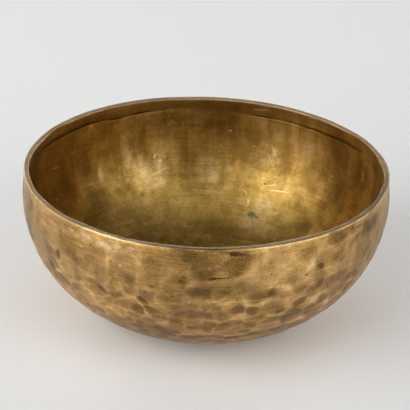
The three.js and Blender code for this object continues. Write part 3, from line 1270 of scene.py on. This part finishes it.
def make_outside():
    """Tan and brown metal with dark hammer marks and golden ridges."""
    m = Bronze("aged_bronze_outside")
    way = m.number("way")
    wide = m.clouds(0.045, 0.25)
    middle = m.clouds(0.015, 0.25, 0.3, 0.1, 0.2)
    small = m.clouds(0.005, 0.25, 0.7, 0.4, 0.1)
    grain = m.clouds(0.0022, 0.25, 0.1, 0.9, 0.5)
    dust = m.clouds(0.001, 0.25, 0.6, 0.2, 0.9)
    lines = m.mask("polishing_lines", Way=way, Gap=0.0012, Length=0.02)
    pits = m.mask("pits", Gap=0.007, Radius=0.13, Share=0.22)
    scratches = m.mask("scratches")

    upper = m.ranged(way, *upper_stretch)
    # Painted shade: the tone is darker towards the foot
    foot_shade = m.ranged(way, *foot_shade_stretch)
    bands = m.times(m.upright_clouds(0.016, 0.22), upper)
    hollow = m.ranged(
        m.weighed(-0.45, (m.number("dish"), 1.0), (middle, 0.55), (small, 0.35)), 0.0, 1.0
    )
    ridge = m.times(m.number("ridge"), m.weighed(0.1, (middle, 0.7), (wide, 0.5)))
    # The stain number is partly painted shade, low down near the foot
    ragged_stain_and_shade = m.times(m.number("stain_and_shade"), m.weighed(0.5, (middle, 0.5), (small, 0.5)))
    stain_and_shade = m.ranged(ragged_stain_and_shade, 0.05, 0.95)
    # The wear number is partly painted highlight: upright bands and patches where the upper wall
    # catches the light
    ragged_wear_and_highlight = m.times(m.number("wear_and_highlight"), m.weighed(0.4, (middle, 0.6), (small, 0.6)))
    wear_and_highlight = m.ranged(ragged_wear_and_highlight, 0.1, 1.0)
    speck = m.times(m.ranged(grain, 0.55, 0.9), m.weighed(0.15, (hollow, 0.5), (stain_and_shade, 0.5)))
    tone = m.weighed(
        0.19, (wide, 0.16), (middle, 0.14), (small, 0.14), (grain, 0.17), (dust, 0.16),
        (lines, 0.11), (upper, -0.12), (foot_shade, -0.09), (hollow, -0.26), (ridge, 0.22),
        (bands, 0.18), (stain_and_shade, -0.42), (wear_and_highlight, 0.36), (speck, -0.24),
    )
    colour = m.toned(tone, outer_tones)
    tint = m.clouds(0.012, 0.15, 0.9, 0.3, 0.6)
    colour = m.over(colour, m.times(m.times(tint, hollow), 0.35), violet_brown)
    colour = m.over(colour, m.times(m.weighed(1.0, (tint, -1.0)), 0.14), olive_tint)
    colour = m.over(colour, m.times(pits, 0.8), black_brown)
    colour = m.over(colour, m.times(scratches, 0.5), black_brown)
    colour = m.marked(colour, outer_marks, OUTSIDE)

    roughness = m.weighed(0.32, (hollow, 0.1), (grain, 0.06), (lines, 0.06))
    relief = m.weighed(
        0.0, (grain, 0.5), (dust, 0.25), (lines, 0.35), (pits, -1.0), (scratches, -1.0),
        (small, 1.2), (middle, 1.2),
    )
    m.finish(colour, roughness, relief, outside_relief)


make_outside()

# %% [markdown]
# The lip was filed flat. Its top has tarnished to a dull grey brown with short oblique
# file marks. Its corners are painted bright, partly worn by hands and partly painted
# highlight, the outer one most at the left and at the right of the front, and in the
# middle of the front it is dull. A stretch at the right is painted dark as shade.

# %% Lip
lip_brown = (0.32, 0.208, 0.098, 1)
lip_tan = (0.48, 0.315, 0.14, 1)
lip_dark = (0.11, 0.073, 0.038, 1)
lip_highlight_cream = (0.86, 0.69, 0.44, 1)
lip_relief = 0.08 * millimetre
# Distances from the two edges of the lip over which the bright corners fade
outer_corner = (1.1 * millimetre, 0.3 * millimetre)
inner_corner = (0.7 * millimetre, 0.1 * millimetre)


def make_lip():
    """Dull grey brown metal with bright corners."""
    m = Bronze("aged_bronze_lip")
    parts = m.parts(m.place)
    radius = m.calculate("SQRT", m.plus(m.squared(parts["X"]), m.squared(parts["Y"])))
    outer = m.ranged(radius, *(rim_radius - inward for inward in outer_corner))
    inner = m.ranged(radius, *(rim_radius - lip_width + outward for outward in inner_corner))
    patches = m.clouds(0.012, 0.15)
    grain = m.clouds(0.0012, 0.2, 0.2, 0.5, 0.8)
    file_marks = m.mask("scratches", Size=0.004, Width=0.05, Share=0.45)

    colour = m.over(lip_brown, m.times(patches, 0.5), lip_tan)
    colour = m.over(colour, m.times(file_marks, 0.5), lip_dark)
    colour = m.over(colour, m.times(grain, 0.3), lip_dark)
    # Painted shade: on the lip the stain number darkens a stretch at the right
    colour = m.over(colour, m.times(m.number("stain_and_shade"), 0.8), lip_dark)
    # Painted highlight: the corners are painted pale, the outer one by the wear number and the
    # inner one a little all round
    edges = m.plus(m.times(outer, m.number("wear_and_highlight")), m.times(inner, 0.15), clamp=True)
    bright = m.times(edges, m.ranged(patches, 0.0, 0.6, 0.6, 1.0))
    colour = m.over(colour, bright, lip_highlight_cream)
    colour = m.over(colour, m.times(m.times(outer, m.number("crease")), 0.9), black_brown)
    roughness = m.plus(m.times(grain, 0.1), m.ranged(bright, 0.0, 1.0, 0.5, 0.34))
    relief = m.plus(m.times(grain, 0.4), m.times(file_marks, -1.0))
    m.finish(colour, roughness, relief, lip_relief)


make_lip()

# %% [markdown]
# The hollow is smoother and more olive. Its tone is added up and coloured in the same
# way. Polishing left fine lines round it, and soft darker streaks run up and down, partly
# tarnish and partly painted shade of the upright marks, with russet high up. The floor of
# the hollow is painted darker as shade, the far wall has a painted warm reflection, and
# the wear carries painted highlights. The band under the lip is browner, and the crease
# below it is painted dark as shade.

# %% Inside
inner_tones = (
    (0.0, (0.05, 0.032, 0.013, 1)), (0.2, (0.14, 0.083, 0.019, 1)),
    (0.42, (0.28, 0.165, 0.037, 1)), (0.62, (0.49, 0.306, 0.08, 1)),
    (0.82, (0.70, 0.50, 0.25, 1)), (1.0, (0.86, 0.69, 0.48, 1)),
)
painted_reflection_gold = (0.95, 0.58, 0.13, 1)
worn_highlight_gold = (0.87, 0.65, 0.355, 1)
band_brown = (0.26, 0.15, 0.045, 1)
russet = (0.26, 0.12, 0.026, 1)
verdigris = (0.11, 0.125, 0.05, 1)
band_soft_edge = 1.5 * millimetre
# Stretches of the way along the metal over which streaks, russet and the painted shade of
# the floor begin
streak_stretch = (100 * millimetre, 145 * millimetre)
russet_stretch = (125 * millimetre, 150 * millimetre)
floor_shade_stretch = (100 * millimetre, 60 * millimetre)
inside_relief = 0.05 * millimetre
inner_marks = (
    # turn in degrees, height, length, width, lean in degrees, strength
    (pale_gold, (
        (-161, 49, 24, 0.7, 158, 0.6), (-157, 51, 12, 0.6, 166, 0.5),
        (150.5, 43, 24, 0.8, 172, 0.8), (154, 45.6, 10, 0.6, 160, 0.6), (156, 69, 9, 1, 62, 0.7),
        (157, 63, 8, 0.8, 58, 0.6), (-163, 57, 2.4, 1.8, 0, 0.9), (-161, 60.5, 1.8, 3.6, 10, 0.7),
        (172, 79, 2, 1.4, 0, 0.8), (-168, 84.6, 7, 0.7, 30, 0.5), (-167, 84, 6, 0.7, 140, 0.5),
        (115, 79, 1.4, 4.6, 0, 0.6), (162, 33, 1.4, 7, 0, 0.6),
    )),
    (black_brown, (
        (157, 45.4, 1.8, 1.6, 0, 0.9), (130, 27, 1, 6, 0, 0.6),
    )),
    (verdigris, (
        (159, 26.4, 7, 5, 0, 0.8), (156.4, 25.6, 4, 3, 20, 0.6), (-154, 37, 5, 4, 0, 0.5),
    )),
)


def make_inside():
    """Olive gold metal, brushed round, with upright streaks of tarnish and painted shade."""
    m = Bronze("aged_bronze_inside")
    way = m.number("way")
    streaks = m.upright_clouds(0.014, 0.2)
    wide = m.clouds(0.04, 0.22)
    middle = m.clouds(0.017, 0.2, 0.4, 0.6, 0.2)
    small = m.clouds(0.006, 0.22, 0.5, 0.2, 0.7)
    grain = m.clouds(0.002, 0.25, 0.8, 0.3, 0.4)
    lines = m.mask("polishing_lines", Way=way, Gap=0.0009, Length=0.03)
    pits = m.mask("pits", Gap=0.008, Radius=0.09, Share=0.3)
    scratches = m.mask("scratches", Size=0.035, Width=0.008, Share=0.58)

    tarnish_and_shade_streaks = m.times(streaks, m.ranged(way, *streak_stretch, 0.1, 1.0))
    # Painted shade: the tone is darker towards the floor of the hollow
    low = m.ranged(way, *floor_shade_stretch)
    # The stain number is partly painted shade, on the sides and along the crease
    ragged_stain_and_shade = m.times(m.number("stain_and_shade"), m.weighed(0.6, (middle, 0.3), (small, 0.5)))
    stain_and_shade = m.ranged(ragged_stain_and_shade, 0.05, 1.0)
    # Painted reflection: warm and bright on the far wall of the hollow
    painted_reflection = m.times(m.number("painted_reflection"), m.weighed(1.0, (streaks, -0.5)))
    ragged_wear_and_highlight = m.times(m.number("wear_and_highlight"), m.weighed(0.5, (small, 0.6), (grain, 0.3)))
    wear_and_highlight = m.ranged(ragged_wear_and_highlight, 0.1, 1.0)
    tone = m.weighed(
        0.305, (wide, 0.14), (middle, 0.16), (small, 0.12), (grain, 0.1), (lines, 0.1),
        (tarnish_and_shade_streaks, -0.2), (low, -0.08), (stain_and_shade, -0.24), (wear_and_highlight, 0.12), (painted_reflection, 0.3),
    )
    colour = m.toned(tone, inner_tones)
    high = m.ranged(way, *russet_stretch)
    colour = m.over(colour, m.times(high, m.weighed(0.12, (streaks, 0.3))), russet)
    colour = m.over(colour, m.times(painted_reflection, 0.35), painted_reflection_gold)
    # Painted highlight: a paler gold where the wear number is high, on the two broad lights
    colour = m.over(colour, m.times(wear_and_highlight, 0.3), worn_highlight_gold)
    band = m.ranged(way, base_radius + ledge_foot - band_soft_edge, base_radius + band_foot)
    band_share = m.weighed(0.05, (middle, 0.3), (small, 0.3))
    colour = m.over(colour, m.times(band, band_share), band_brown)
    # Painted shade: the crease under the ledge and the line below it are painted near black
    colour = m.over(colour, m.ranged(m.number("crease"), 0.25, 0.8, 0.0, 0.9), black_brown)
    colour = m.over(colour, m.times(pits, 0.5), pale_gold)
    colour = m.over(colour, m.times(scratches, 0.45), pale_gold)
    colour = m.marked(colour, inner_marks, INSIDE)

    roughness = m.weighed(0.37, (lines, 0.06), (wide, 0.06))
    relief = m.weighed(0.0, (lines, 0.4), (grain, 0.3), (pits, -0.8), (scratches, -0.8))
    m.finish(colour, roughness, relief, inside_relief)


make_inside()
